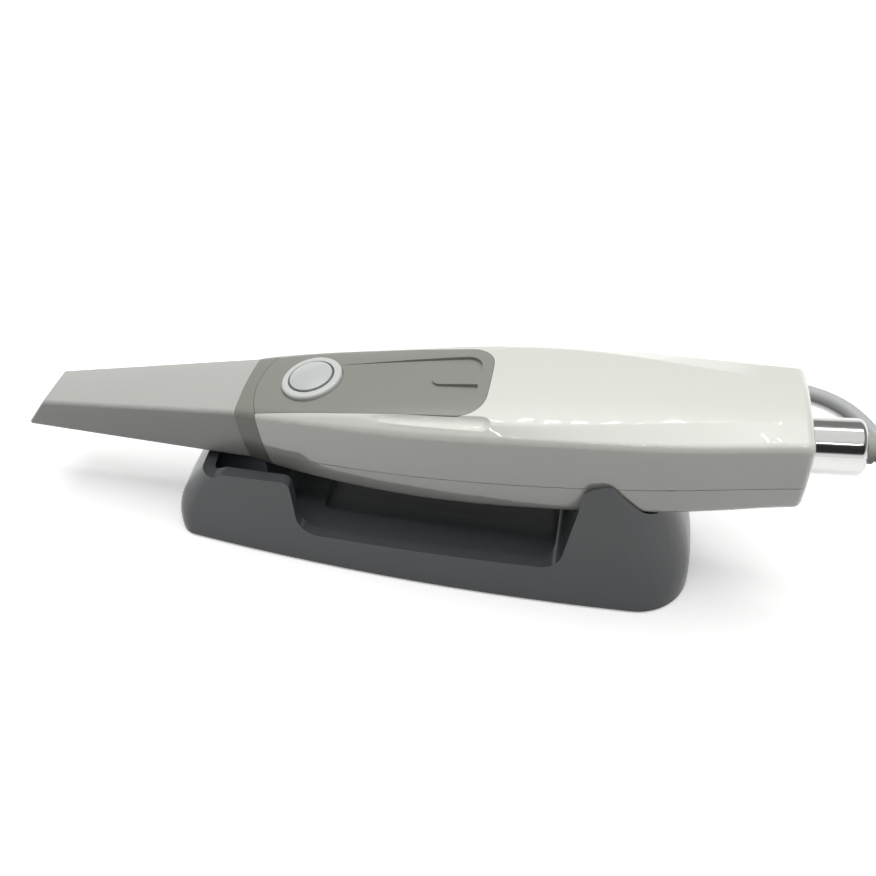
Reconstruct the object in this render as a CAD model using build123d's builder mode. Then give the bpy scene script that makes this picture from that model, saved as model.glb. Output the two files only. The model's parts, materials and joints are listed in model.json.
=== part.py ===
from build123d import *
import os
from math import atan2, cos, degrees, pi, radians, sin, tan

# Wired intraoral scanner lying in its desk cradle.
# The cradle stands on the table, with the frame's origin at the centre of its foot pad, +Z up and
# +X from the scanning tip towards the cable. The handpiece is modelled level, in its own frame, and
# every piece of it is put into the cradle by one seat. Lengths are in millimetres, angles in degrees.
os.makedirs("parts", exist_ok=True)

# How the handpiece lies in the cradle: nose down, its own axis this high above the table at X = 0
pitch = 7.0
seat_height = 40.0
seat = Location((0, 0, seat_height), (0, -pitch, 0))

# Handpiece, along its own axis
tip_top_x = -112.1
collar_front_x = -51.2
collar_width = 6.2
body_rear_x = 90.8
shell_front_x = collar_front_x + collar_width
body_length = body_rear_x - collar_front_x

# Handpiece section at its fullest
body_half_width = 18.2
body_crown = 14.6
plateau_half_width = 14.6
plateau_height = 13.2
plateau_radius = 4.0
shoulder_height = 10.7
shoulder_radius = 3.6
seam_drop = 4.6
seam_place_shares = (0.28, 0.56, 0.79)
seam_shares = (0.76, 1.0, 0.93, 0.80, 0.72)
tongue_rise = 1.5
notch_x = 59.8
notch_length = 2.2
notch_height = 1.0
notch_half_width = 16.7
keel_half_width = 15.3
keel_drop = 18.4
keel_corner_rise = 0.6
keel_radius = 6.0
least_radius = 0.5
rear_edge_radius = 2.2

# Each station: place along the body, then what it has of the full crown, plateau width, plateau
# height, shoulder width, shoulder height, waist width, seam drop, keel width, keel drop,
# shoulder radius and keel radius
body_station_shares = (
    (0.000, 0.726, 0.630, 0.765, 0.618, 0.888, 0.637, 0.740, 0.680, 0.533, 0.56, 0.58),
    (0.051, 0.767, 0.726, 0.802, 0.687, 0.907, 0.703, 0.826, 0.732, 0.641, 0.61, 0.67),
    (0.206, 0.884, 0.863, 0.902, 0.835, 0.907, 0.846, 0.978, 0.850, 0.870, 0.83, 0.83),
    (0.389, 0.979, 0.959, 0.985, 0.956, 0.944, 0.956, 1.000, 0.948, 1.000, 0.94, 1.00),
    (0.558, 1.000, 1.000, 1.000, 1.000, 1.000, 0.995, 0.935, 1.000, 0.989, 0.83, 1.00),
    (0.741, 0.932, 0.808, 0.955, 0.962, 0.963, 0.967, 0.826, 0.980, 0.946, 0.72, 1.00),
    (0.868, 0.849, 0.616, 0.886, 0.879, 0.925, 0.890, 0.761, 0.915, 0.880, 0.69, 1.00),
    (1.000, 0.767, 0.438, 0.826, 0.786, 0.907, 0.802, 0.717, 0.810, 0.783, 0.69, 0.83),
)

body_forms = (
    body_crown, plateau_half_width, plateau_height, body_half_width, shoulder_height,
    body_half_width, seam_drop, keel_half_width, keel_drop, shoulder_radius, keel_radius,
)

# Scanning tip: full section at the collar, and what is left of it at the far end
tip_crown = 10.6
tip_half_width = 11.2
tip_shoulder_height = 9.5
tip_waist_half_width = 11.5
tip_waist_drop = 2.0
tip_keel_half_width = 10.8
tip_keel_drop = 9.0
tip_shoulder_radius = 1.7
tip_keel_radius = 2.4
tip_forms = (
    tip_crown, tip_half_width, tip_shoulder_height, tip_waist_half_width, tip_waist_drop,
    tip_keel_half_width, tip_keel_drop, tip_shoulder_radius, tip_keel_radius,
)
tip_length = 72.8
tip_end_shares = (0.545, 0.545, 0.579, 0.587, -0.450, 0.602, 0.452, 0.94, 0.80)
tip_full_shares = (1.0,) * len(tip_end_shares)
tip_top_z = 6.3
tip_end_slope = 45.0
tip_edge_radius = 0.7
tip_wall = 1.5
tip_end_wall = 1.8
window_length = 13.0
window_centre_x = -112.7
window_half_width = 4.7
window_corner_radius = 1.6
mirror_length = 9.0
mirror_thickness = 0.9
mirror_half_width = 4.1
mirror_set_back = 0.5

# Shell walls, seams and running gaps
wall = 2.6
deck_depth = 1.6
parting_gap = 0.25
fit_gap = 0.1
slide_gap = 0.35
spigot_wall = 1.2
spigot_reach = 2.4
overrun = 60.0
fine = 0.01

# Control panel, on top of the body
panel_front_half_width = 11.6
panel_rear_half_width = 12.9
panel_front_bulge = 2.6
panel_rear_bulge = 0.8
panel_rear_x = 14.6
panel_corner_radius = 7.0
thumb_front_x = -27.0
thumb_rear_x = 12.4
thumb_front_half_width = 5.6
thumb_rear_half_width = 9.4
thumb_corner_radius = 4.2
thumb_nose_radius = 2.0
thumb_depth = 1.0
tongue_length = 12.2
tongue_half_width = 2.3
scoop_front_radius = 1.0
scoop_rear_radius = 3.4
scoop_front_half_width = 13.2
scoop_rear_half_width = 15.7
scoop_front_z = 12.0
scoop_rear_z = 15.2
scoop_rear_x = 15.0

# Push button and its light ring
button_x = -32.4
button_height = 12.15
button_lean = 4.4
ring_radius = 8.2
ring_bore = 6.3
ring_proud = 1.0
ring_round = 0.75
ring_flange_radius = 9.4
ring_flange_thickness = 0.7
ring_inner_round = 0.3
ring_dish_radius = 10.0
ring_dish_depth = 0.35
cap_radius = 5.7
cap_edge_height = 1.3
cap_dome = 0.7
trim_radius = 6.1
trim_height = 0.9
trim_skirt = 1.0
ring_skirt = 4.3
running_gap = 0.05
button_flange_radius = 7.2
button_flange_thickness = 0.7
plunger_radius = 1.6
plunger_bottom = 6.9
switch_side = 6.0
switch_top = 5.9
switch_height = 1.9
button_board_front = 8.6
button_board_rear = 13.4
button_board_half_width = 6.2
boss_radius = 1.5
boss_reach = 11.2
boss_half_spacing = 4.5
board_thickness = 1.2

# Front optics
nose_length = 26.0
nose_wall = 1.2
nose_flange_thickness = 2.4
window_glass_thickness = 1.2
window_glass_set_back = 0.6
seal_width = 2.0
seal_set_forward = 4.0
seal_gap = 0.08
barrel_radius = 3.7
barrel_spacing = 4.3
barrel_axis_z = -1.9
barrel_length = 22.0
barrel_wall = 0.6
barrel_front_x = -45.4
lens_thickness = 1.6
lens_set_back = 0.5
lens_block_length = 11.0
lens_block_set_back = 8.9
lens_block_half_width = 8.6
lens_block_top_z = 2.4

# Chassis, boards and cooling
chassis_front_x = -38.0
chassis_rear_x = 76.0
chassis_floor_z = -7.6
chassis_floor_thickness = 1.3
chassis_half_width = 9.0
chassis_wall_thickness = 1.2
chassis_wall_top_z = 3.4
chassis_slot_length = 9.0
chassis_slot_width = 3.0
chassis_slot_pitch = 6.0
chassis_slot_count = 3
chassis_slot_x = 52.0
chassis_wall_front_x = -6.0
rib_thickness = 1.8
rib_place_shares = (0.24, 0.58, 0.84)
camera_board_half_width = 3.9
camera_board_top_z = 2.2
sensor_side = 4.2
sensor_thickness = 1.0
projector_length = 17.0
projector_half_width = 3.7
heat_sink_length = 30.0
heat_sink_front_x = 8.0
heat_sink_half_width = 7.0
heat_sink_base = 2.0
heat_sink_top_z = 2.8
fin_count = 6
fin_thickness = 0.9
main_board_z = 3.6
main_board_half_width = 10.4
main_board_rear_x = 74.0
chip_side = 9.0
chip_thickness = 1.1
chip_spacing = 18.0
chip_count = 3
chip_front_x = 12.0
screw_radius = 1.0
screw_head_radius = 1.9
screw_head_height = 1.2
screw_socket_radius = 1.0
screw_end_margin = 4.0
post_radius = 2.2
post_half_spacing = 6.6
screw_thread_length = 3.0
socket_length = 9.0
socket_half_width = 4.5
socket_height = 4.0
lead_sunk = 2.0

# Cable exit
exit_axis_z = -3.3
ferrule_radius = 7.0
ferrule_length = 13.6
ferrule_edge_radius = 1.6
ferrule_neck_radius = 5.2
nut_height = 2.6
nut_flats = 14.0
neck_beyond_nut = 0.4
ferrule_bore_radius = 2.6
relief_radius = 3.85
relief_end_radius = 3.2
relief_length = 24.0
relief_socket_depth = 6.0
relief_collar_length = 2.2
rib_groove_width = 1.1
rib_groove_depth = 0.6
rib_groove_pitch = 2.6
rib_groove_count = 8
cable_radius = 2.5
cable_sunk = 1.4
cable_bend_share = 0.45
lead_radius = 1.5
lead_bend = 3.2
lead_drop_x = 79.6

# Cable put away as a tied hank, and its plug
hank_front_x = 8.0
hank_length = 90.0
hank_centre_y = 42.5
hank_half_width = 15.2
hank_height = 20.0
hank_hole_half_width = 4.8
hank_edge_radius = 2.4
strap_width = 12.0
strap_thickness = 0.8
strap_x = 35.0
tail_front_x = -6.0
tail_rear_x = 14.0
plug_length = 24.0
plug_width = 15.0
plug_height = 8.0
plug_edge_radius = 2.2
plug_shell_length = 12.5
plug_shell_width = 12.0
plug_shell_height = 4.5
plug_shell_wall = 0.4
plug_insert_height = 1.9
# The free stretch of the cable after its exit: down to the table, round, and into the hank
cable_route = (
    (141, 0, 54), (156, -4, 52), (171, -11, 45), (185, -19, 33), (199, -14, 20), (205, 3, 10),
    (197, 20, 4), (180, 28, 2.6), (164, 26.5, 2.6), (150, 26, 2.6), (136, 34.5, 2.6),
    (128.8, 50.5, 2.6), (121, 66, 2.6), (106.5, 75, 2.6), (90, 75, 2.8), (74.5, 67.5, 3.2),
    (61, 59, 3.3), (47, 55.2, 3.3),
)

# Cradle
cradle_left_x = -73.4
cradle_right_x = 72.6
cradle_half_width = 25.0
cradle_fullest_x = 7.0
cradle_left_half_width = 20.4
cradle_right_half_width = 22.6
cradle_left_bulge = 0.8
cradle_right_bulge = 2.8
cradle_left_corner_radius = 6.0
cradle_right_corner_radius = 16.0
cradle_top_z = 47.0
cradle_left_draw = 24.0
cradle_right_draw = 16.0
# Each level: share of the height, of the half width, and of how far each end draws in
cradle_level_shares = (
    (0.00, 1.000, 0.00, 0.00),
    (0.24, 0.890, 0.06, 0.11),
    (0.60, 0.822, 0.60, 0.54),
    (1.00, 0.796, 1.00, 1.00),
)
block_top_z = -8.3
block_rear_x = -37.0
block_corner_radius = 2.0
lip_front_z = 9.8
lip_rear_z = 12.0
lip_front_x = -35.2
lip_rear_x = 36.4
lip_corner_radius = 5.8
horn_front_x = 40.3
horn_front_z = 41.2
horn_top_x = 45.8
horn_top_z = 43.6
end_top_x = 57.5
end_top_z = 32.8
end_edge_z = 28.5
horn_radius = 3.0
cradle_wall = 3.0
block_end_top_z = -9.9
block_end_x = -59.6
block_step_x = -56.0
bay_floor_z = 5.4
cavity_floor_front_z = 8.2
cavity_floor_rear_z = 9.6
cavity_rear_x = 37.4
cavity_rear_half_width = 24.2
cavity_rear_bulge = 0.5
cavity_corner_radius = 5.0
well_half_width = 10.4
well_depth = 3.8
well_margin = 3.4
well_corner_radius = 3.6
rest_front_x = -47.0
rest_length = 7.0
rest_half_width = 9.0
rest_pad_thickness = 1.2
rest_gap = 0.1
rear_rest_x = 44.0
rear_rest_length = 14.0
rear_rest_half_width = 11.0
saddle_gap = 0.4
saddle_lift = 12.0
foot_pad_half_length = 60.0
foot_pad_half_width = 17.0
foot_pad_thickness = 1.2
foot_pad_sunk = 0.5
foot_pad_corner_radius = 9.0
ballast_front_x = 42.0
ballast_length = 22.0
ballast_half_width = 13.0
ballast_height = 12.0


def crosswise_section(x, forms, shares, inset):
    """One closed section across the handpiece: a crown between two plateau edges, shoulders,
    sides that are widest at the seam, and a keel that is nearly flat."""
    sizes = [full * share for full, share in zip(forms, shares)]
    crown, plateau, plateau_z, half, shoulder, waist, seam, keel_half, keel, soft, keel_soft = sizes
    crown, plateau_z, shoulder, keel = crown - inset, plateau_z - inset, shoulder - inset, keel - inset
    plateau, half, waist, keel_half = plateau - inset, half - inset, waist - inset, keel_half - inset
    keel_corner = keel_corner_rise - keel
    with BuildSketch(Plane.YZ.offset(x)) as section:
        with BuildLine():
            ThreePointArc((-plateau, plateau_z), (0, crown), (plateau, plateau_z))
            Line((plateau, plateau_z), (half, shoulder))
            ThreePointArc((half, shoulder), (waist, -seam), (keel_half, keel_corner))
            ThreePointArc((keel_half, keel_corner), (0, -keel), (-keel_half, keel_corner))
            ThreePointArc((-keel_half, keel_corner), (-waist, -seam), (-half, shoulder))
            Line((-half, shoulder), (-plateau, plateau_z))
        make_face()
        drawn_in = max(inset, 0)
        fillet(section.vertices().group_by(Axis.Y)[-1], max(plateau_radius - drawn_in, least_radius))
        shoulder_corners = section.vertices().filter_by(lambda corner: abs(corner.Y - shoulder) < fine)
        fillet(shoulder_corners, max(soft - drawn_in, least_radius))
        fillet(section.vertices().group_by(Axis.Y)[0], max(keel_soft - inset, least_radius))
    return section.sketch


def body_form(inset):
    """The whole closed body between the collar's front and the rear end, drawn in by inset."""
    with BuildPart() as form:
        loft(sections=[
            crosswise_section(collar_front_x + shares[0] * body_length, body_forms, shares[1:], inset)
            for shares in body_station_shares
        ])
    return form.part


def tip_section(x, shares, inset):
    """One closed section across the tip: a low crown, sides, and a keel that is nearly flat."""
    sizes = [full * share for full, share in zip(tip_forms, shares)]
    crown, half, shoulder, waist, waist_drop, keel_half, keel, soft, keel_soft = sizes
    crown, shoulder, keel = crown - inset, shoulder - inset, keel - inset
    half, waist, keel_half = half - inset, waist - inset, keel_half - inset
    keel_corner = keel_corner_rise - keel
    with BuildSketch(Plane.YZ.offset(x)) as section:
        with BuildLine():
            ThreePointArc((-half, shoulder), (0, crown), (half, shoulder))
            ThreePointArc((half, shoulder), (waist, -waist_drop), (keel_half, keel_corner))
            ThreePointArc((keel_half, keel_corner), (0, -keel), (-keel_half, keel_corner))
            ThreePointArc((-keel_half, keel_corner), (-waist, -waist_drop), (-half, shoulder))
        make_face()
        fillet(section.vertices().group_by(Axis.Y)[-1], max(soft - inset, least_radius))
        fillet(section.vertices().group_by(Axis.Y)[0], max(keel_soft - inset, least_radius))
    return section.sketch


def tip_form(inset):
    """The tip as a straight taper from the collar, before its end is cut, drawn in by inset."""
    with BuildPart() as form:
        loft(ruled=True, sections=[
            tip_section(collar_front_x - tip_length, tip_end_shares, inset),
            tip_section(collar_front_x, tip_full_shares, inset),
        ])
    return form.part


def slab(front_x, rear_x):
    """Everything between two planes across the handpiece."""
    with BuildPart() as space:
        with BuildSketch(Plane.YZ.offset(front_x)):
            Rectangle(2 * overrun, 2 * overrun)
        extrude(amount=rear_x - front_x)
    return space.part


def block(front_x, rear_x, half_width, bottom_z, top_z, centre_y=0):
    """A plain block along the handpiece."""
    with BuildPart() as piece:
        with BuildSketch(Plane.XY.offset(bottom_z)):
            with Locations(((front_x + rear_x) / 2, centre_y)):
                Rectangle(rear_x - front_x, 2 * half_width)
        extrude(amount=top_z - bottom_z)
    return piece.part


def rod(radius, front_x, rear_x, centre_y=0, centre_z=0):
    """A round bar along the handpiece."""
    with BuildPart() as bar:
        with BuildSketch(Plane.YZ.offset(front_x)):
            with Locations((centre_y, centre_z)):
                Circle(radius)
        extrude(amount=rear_x - front_x)
    return bar.part


# The forms that the shells, the tip and the fits between them share
body_outer = body_form(0)
body_deck = body_form(deck_depth)
body_tongue = body_form(deck_depth + fit_gap)
body_inner = body_form(wall)
body_spigot = body_form(wall + fit_gap)
body_spigot_bore = body_form(wall + fit_gap + spigot_wall)
tip_outer = tip_form(0)
tip_inner = tip_form(tip_wall)
nose_outer = tip_form(tip_wall + slide_gap)
nose_inner = tip_form(tip_wall + slide_gap + nose_wall)
seal_outer = tip_form(tip_wall + seal_gap)

# Scanning tip: a hollow taper with a slanted end, a mirror behind it and a window underneath
end_normal = (-sin(radians(tip_end_slope)), 0, cos(radians(tip_end_slope)))
end_plane = Plane(origin=(tip_top_x, 0, tip_top_z), x_dir=(0, 1, 0), z_dir=end_normal)

with BuildPart() as tip_bore:
    add(tip_inner)
    split(bisect_by=end_plane.offset(-tip_end_wall), keep=Keep.BOTTOM)

with BuildPart() as scan_tip:
    add(tip_outer)
    split(bisect_by=end_plane, keep=Keep.BOTTOM)
    fillet(scan_tip.faces().sort_by(Axis.X)[0].edges(), tip_edge_radius)
    add(slab(collar_front_x - tip_length, collar_front_x - fit_gap), mode=Mode.INTERSECT)
    add(tip_bore.part, mode=Mode.SUBTRACT)
    with BuildSketch():
        with Locations((window_centre_x, 0)):
            RectangleRounded(window_length, 2 * window_half_width, window_corner_radius)
    extrude(amount=-overrun, mode=Mode.SUBTRACT)
scan_tip.part.label = "scan_tip"
export_step(seat * scan_tip.part, "parts/scan_tip.step")

with BuildPart() as tip_mirror:
    with BuildSketch(end_plane.offset(-tip_end_wall)):
        with Locations((0, mirror_set_back + tip_end_wall + mirror_length / 2)):
            Rectangle(2 * mirror_half_width, mirror_length)
    extrude(amount=-mirror_thickness)
tip_mirror.part.label = "tip_mirror"
export_step(seat * tip_mirror.part, "parts/tip_mirror.step")

# Optics nose, which the tip slides over, with its flange inside the collar
nose_front_x = collar_front_x - nose_length
flange_rear_x = collar_front_x + nose_flange_thickness

with BuildPart() as nose_bore:
    add(nose_inner)
    extrude(nose_bore.faces().sort_by(Axis.X)[-1], amount=nose_flange_thickness)

with BuildPart() as nose_flange:
    add(body_spigot)
    add(slab(collar_front_x, flange_rear_x), mode=Mode.INTERSECT)

with BuildPart() as optics_nose:
    add(nose_outer)
    add(slab(nose_front_x, collar_front_x), mode=Mode.INTERSECT)
    add(nose_flange.part)
    add(nose_bore.part, mode=Mode.SUBTRACT)
optics_nose.part.label = "optics_nose"
export_step(seat * optics_nose.part, "parts/optics_nose.step")

glass_front_x = nose_front_x + window_glass_set_back
with BuildPart() as nose_window:
    add(nose_inner)
    add(slab(glass_front_x, glass_front_x + window_glass_thickness), mode=Mode.INTERSECT)
nose_window.part.label = "nose_window"
export_step(seat * nose_window.part, "parts/nose_window.step")

seal_rear_x = collar_front_x - seal_set_forward
with BuildPart() as tip_seal:
    add(seal_outer)
    add(slab(seal_rear_x - seal_width, seal_rear_x), mode=Mode.INTERSECT)
    add(nose_outer, mode=Mode.SUBTRACT)
tip_seal.part.label = "tip_seal"
export_step(seat * tip_seal.part, "parts/tip_seal.step")


def panel_outline(grow):
    """The control panel from above: its front edge is an arc, and its rear corners are round."""
    front_x, rear_x = shell_front_x - grow, panel_rear_x + grow
    front_half, rear_half = panel_front_half_width + grow, panel_rear_half_width + grow
    with BuildSketch() as outline:
        with BuildLine():
            ThreePointArc((front_x, -front_half), (front_x - panel_front_bulge, 0), (front_x, front_half))
            Line((front_x, front_half), (rear_x, rear_half))
            ThreePointArc((rear_x, rear_half), (rear_x + panel_rear_bulge, 0), (rear_x, -rear_half))
            Line((rear_x, -rear_half), (front_x, -front_half))
        make_face()
        fillet(outline.vertices().group_by(Axis.X)[-1], panel_corner_radius + grow)
    return outline.sketch


with BuildPart() as panel_column:
    add(panel_outline(0))
    extrude(amount=overrun)

with BuildPart() as panel_room:
    add(panel_outline(fit_gap))
    extrude(amount=overrun)
    add(body_tongue, mode=Mode.SUBTRACT)


def below_seam(raised):
    """Everything under the seam between the two shells, a long shallow curve seen from the side."""
    span = body_length + 2 * fit_gap
    front_x = collar_front_x - fit_gap
    places = (0, *seam_place_shares, 1)
    points = [
        (front_x + place * span, raised - seam_drop * drop) for place, drop in zip(places, seam_shares)
    ]
    with BuildPart() as space:
        with BuildSketch(Plane.XZ):
            with BuildLine():
                Spline(*points)
                Polyline(points[-1], (front_x + span, -overrun), (front_x, -overrun), points[0])
            make_face()
        extrude(amount=overrun, both=True)
    return space.part


shell_room_rear_x = body_rear_x - wall
shell_span = slab(shell_front_x, body_rear_x)
inner_span = slab(collar_front_x, shell_room_rear_x)

with BuildPart() as rounded_body:
    add(body_outer)
    fillet(rounded_body.faces().sort_by(Axis.X)[-1].edges(), rear_edge_radius)

with BuildPart() as hollow:
    add(body_inner)
    add(inner_span, mode=Mode.INTERSECT)

exit_hole = rod(ferrule_neck_radius + fit_gap, lead_drop_x, body_rear_x + overrun, centre_z=exit_axis_z)

# Front collar, with a spigot that the shells close on
with BuildPart() as spigot:
    add(body_spigot)
    add(slab(shell_front_x - fit_gap, shell_front_x + spigot_reach), mode=Mode.INTERSECT)

with BuildPart() as front_collar:
    add(body_outer)
    add(slab(flange_rear_x + fit_gap, shell_front_x - fit_gap), mode=Mode.INTERSECT)
    add(spigot.part)
    add(body_spigot_bore, mode=Mode.SUBTRACT)
with BuildPart() as collar_rim:
    add(body_outer)
    add(slab(collar_front_x, flange_rear_x + fit_gap), mode=Mode.INTERSECT)
    add(body_inner, mode=Mode.SUBTRACT)
with front_collar:
    add(collar_rim.part)
    add(panel_room.part, mode=Mode.SUBTRACT)
front_collar.part.label = "front_collar"
export_step(seat * front_collar.part, "parts/front_collar.step")

# Button: everything on it is turned about one axis that leans with the panel
button_seat = Location((button_x, 0, button_height), (0, -button_lean, 0))


def turned(*points):
    """A closed outline of (radius, height) points turned about the button's axis."""
    with BuildPart() as piece:
        with BuildSketch(Plane.XZ):
            with BuildLine():
                Polyline(*points, close=True)
            make_face()
        revolve(axis=Axis.Z)
    return piece.part


button_way = button_seat * turned(
    (0, -overrun), (ring_radius + fit_gap, -overrun), (ring_radius + fit_gap, overrun), (0, overrun)
)

# Upper shell: room and deck for the panel, hole for the button, scooped sides
with BuildPart() as scoop:
    with BuildSketch(Plane.XY):
        with BuildLine():
            Line((shell_front_x, 0), (shell_front_x, scoop_front_radius))
            Line((shell_front_x, scoop_front_radius), (scoop_rear_x, scoop_rear_radius))
            RadiusArc((scoop_rear_x, scoop_rear_radius), (scoop_rear_x + scoop_rear_radius, 0),
                      scoop_rear_radius)
            Line((scoop_rear_x + scoop_rear_radius, 0), (shell_front_x, 0))
        make_face()
    revolve(axis=Axis.X)
scoop_run = scoop_rear_x - shell_front_x
scoop_turn = degrees(atan2(scoop_rear_half_width - scoop_front_half_width, scoop_run))
scoop_lift = degrees(atan2(scoop_rear_z - scoop_front_z, scoop_run))
scoops = [
    Location((shell_front_x, side * scoop_front_half_width, scoop_front_z))
    * Location((0, 0, 0), (0, -scoop_lift, side * scoop_turn))
    * Location((-shell_front_x, 0, 0))
    * scoop.part
    for side in (-1, 1)
]

board_top_z = -switch_top - switch_height
with BuildPart() as bosses:
    with BuildSketch(Plane.XY.offset(board_top_z)):
        with Locations((boss_reach, -boss_half_spacing), (boss_reach, boss_half_spacing)):
            Circle(boss_radius)
    extrude(amount=-deck_depth - board_top_z)

with BuildPart() as rebate:
    add(body_deck)
    add(inner_span, mode=Mode.INTERSECT)
    add(below_seam(tongue_rise + fit_gap), mode=Mode.INTERSECT)

with BuildPart() as upper_shell:
    add(rounded_body.part)
    add(shell_span, mode=Mode.INTERSECT)
    add(below_seam(0), mode=Mode.SUBTRACT)
    add(scoops, mode=Mode.SUBTRACT)
    add(hollow.part, mode=Mode.SUBTRACT)
    add(rebate.part, mode=Mode.SUBTRACT)
    add(button_seat * bosses.part)
    add(panel_room.part, mode=Mode.SUBTRACT)
    add(button_way, mode=Mode.SUBTRACT)
    add(exit_hole, mode=Mode.SUBTRACT)
upper_shell.part.label = "upper_shell"
export_step(seat * upper_shell.part, "parts/upper_shell.step")

# Lower shell: a tongue along the seam, ribs that carry the chassis, and notches to prise it open
chassis_under_z = chassis_floor_z - chassis_floor_thickness

with BuildPart() as seam_tongue:
    add(body_tongue)
    add(slab(shell_front_x + fit_gap, shell_room_rear_x - fit_gap), mode=Mode.INTERSECT)
    add(below_seam(tongue_rise), mode=Mode.INTERSECT)
    add(body_inner, mode=Mode.SUBTRACT)

with BuildPart() as ribs:
    for place in rib_place_shares:
        rib_x = collar_front_x + place * body_length
        add(block(rib_x, rib_x + rib_thickness, overrun, -overrun, chassis_under_z))
    add(body_deck, mode=Mode.INTERSECT)

with BuildPart() as notches:
    with BuildSketch(Plane.XZ.offset(notch_half_width)):
        with Locations((notch_x, -seam_drop * seam_shares[-2])):
            Rectangle(notch_length, notch_height)
    extrude(amount=overrun)
    mirror(about=Plane.XZ)

with BuildPart() as lower_shell:
    add(rounded_body.part)
    add(shell_span, mode=Mode.INTERSECT)
    add(below_seam(-parting_gap), mode=Mode.INTERSECT)
    add(hollow.part, mode=Mode.SUBTRACT)
    add(seam_tongue.part)
    add(ribs.part)
    add(notches.part, mode=Mode.SUBTRACT)
    add(exit_hole, mode=Mode.SUBTRACT)
lower_shell.part.label = "lower_shell"
export_step(seat * lower_shell.part, "parts/lower_shell.step")

# Control panel: follows the crown, dished under the ring, with the thumb recess and its tongue
thumb_tilt = degrees(atan2(thumb_depth, thumb_rear_x - thumb_front_x))
thumb_floor = (
    Location((thumb_front_x, 0, 0), (0, thumb_tilt, 0)) * Location((-thumb_front_x, 0, 0)) * body_outer
)
with BuildPart() as thumb_recess:
    with BuildSketch() as thumb_outline:
        with BuildLine():
            Polyline(
                (thumb_front_x, -thumb_front_half_width), (thumb_rear_x, -thumb_rear_half_width),
                (thumb_rear_x, thumb_rear_half_width), (thumb_front_x, thumb_front_half_width),
                close=True,
            )
        make_face()
        fillet(thumb_outline.vertices().group_by(Axis.X)[-1], thumb_corner_radius)
        fillet(thumb_outline.vertices().group_by(Axis.X)[0], thumb_nose_radius)
        with Locations((thumb_rear_x, 0)):
            SlotOverall(2 * tongue_length, 2 * tongue_half_width, mode=Mode.SUBTRACT)
    extrude(amount=overrun)
    add(thumb_floor, mode=Mode.SUBTRACT)

ring_dish = turned(
    (0, -ring_dish_depth), (ring_radius, -ring_dish_depth), (ring_dish_radius, ring_dish_depth),
    (ring_dish_radius, overrun), (0, overrun),
)
with BuildPart() as control_panel:
    add(panel_column.part)
    add(body_outer, mode=Mode.INTERSECT)
    add(body_deck, mode=Mode.SUBTRACT)
    add(thumb_recess.part, mode=Mode.SUBTRACT)
    add(button_seat * ring_dish, mode=Mode.SUBTRACT)
    add(button_way, mode=Mode.SUBTRACT)
control_panel.part.label = "control_panel"
export_step(seat * control_panel.part, "parts/control_panel.step")

# Button cap, its trim, stem and light ring, then the switch and board under them
with BuildPart() as button_ring:
    with BuildSketch(Plane.XZ) as ring_half:
        with BuildLine():
            Polyline(
                (ring_bore, -ring_skirt), (ring_flange_radius, -ring_skirt),
                (ring_flange_radius, ring_flange_thickness - ring_skirt),
                (ring_radius, ring_flange_thickness - ring_skirt), (ring_radius, ring_proud),
                (ring_bore, ring_proud), close=True,
            )
        make_face()
        top_corners = ring_half.vertices().group_by(Axis.Y)[-1].sort_by(Axis.X)
        fillet(top_corners[-1], ring_round)
        fillet(top_corners[0], ring_inner_round)
    revolve(axis=Axis.Z)
button_ring.part.label = "button_ring"
export_step(seat * button_seat * button_ring.part, "parts/button_ring.step")

cap_flange_z = -ring_skirt - running_gap
cap_bottom_z = cap_flange_z - button_flange_thickness
with BuildPart() as button_cap:
    with BuildSketch(Plane.XZ):
        with BuildLine():
            TangentArc((0, cap_edge_height + cap_dome), (cap_radius, cap_edge_height), tangent=(1, 0))
            Polyline(
                (cap_radius, cap_edge_height), (cap_radius, cap_flange_z),
                (button_flange_radius, cap_flange_z), (button_flange_radius, cap_bottom_z),
                (0, cap_bottom_z), (0, cap_edge_height + cap_dome),
            )
        make_face()
    revolve(axis=Axis.Z)
button_cap.part.label = "button_cap"
export_step(seat * button_seat * button_cap.part, "parts/button_cap.step")

with BuildPart() as button_trim:
    with BuildSketch(Plane.XY.offset(-trim_skirt)):
        Circle(trim_radius)
        Circle(cap_radius, mode=Mode.SUBTRACT)
    extrude(amount=trim_skirt + trim_height)
button_trim.part.label = "button_trim"
export_step(seat * button_seat * button_trim.part, "parts/button_trim.step")

with BuildPart() as button_stem:
    with BuildSketch(Plane.XY.offset(-plunger_bottom)):
        Circle(plunger_radius)
    extrude(amount=plunger_bottom + cap_bottom_z)
button_stem.part.label = "button_stem"
export_step(seat * button_seat * button_stem.part, "parts/button_stem.step")

with BuildPart() as tact_switch:
    with BuildSketch(Plane.XY.offset(board_top_z)):
        Rectangle(switch_side, switch_side)
        Circle(plunger_radius + fit_gap, mode=Mode.SUBTRACT)
    extrude(amount=switch_height)
tact_switch.part.label = "tact_switch"
export_step(seat * button_seat * tact_switch.part, "parts/tact_switch.step")

button_board = block(-button_board_front, button_board_rear, button_board_half_width,
                     board_top_z - board_thickness, board_top_z)
button_board.label = "button_board"
export_step(seat * button_seat * button_board, "parts/button_board.step")

# Camera and projector side by side behind the nose, held in one block
barrel_rear_x = barrel_front_x + barrel_length
barrel_bore = barrel_radius - barrel_wall
lens_front_x = barrel_front_x + lens_set_back
lens_block_front_x = barrel_front_x + lens_block_set_back

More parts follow.
